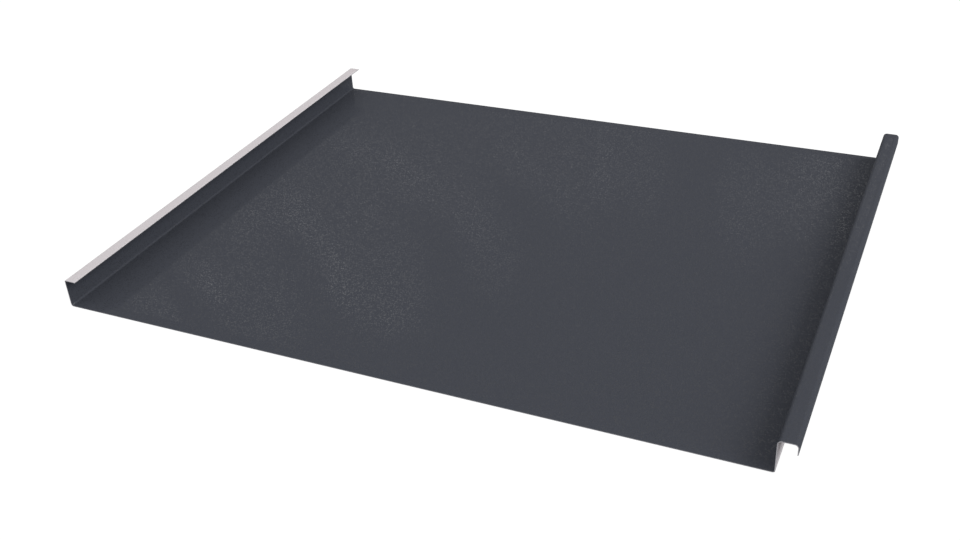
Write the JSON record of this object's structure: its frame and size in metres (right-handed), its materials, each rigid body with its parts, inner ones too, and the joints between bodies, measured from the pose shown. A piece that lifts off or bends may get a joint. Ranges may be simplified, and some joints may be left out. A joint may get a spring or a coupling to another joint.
{
  "type": "standing seam roof panel",
  "caption": "Flat coated steel roof panel, its long edges folded up into an undercloak and an overcloak that close into a standing seam.",
  "frame": {"origin": "middle of the pan's underside, where it lies on the roof deck, halfway between the outer faces of the two legs", "axes": "+X across the pan from the undercloak to the overcloak, +Y up the slope along the seams, +Z away from the deck"},
  "size_m": [0.5625, 0.45, 0.0255],
  "materials": {
    "coated_steel": "matt anthracite coat with a fine wrinkled grain on the weather side, pale grey primer on the back, bare zinc at the cut edges"
  },
  "bodies": {
    "root": {"panel_sheet": "coated_steel"}
  },
  "joints": []
}
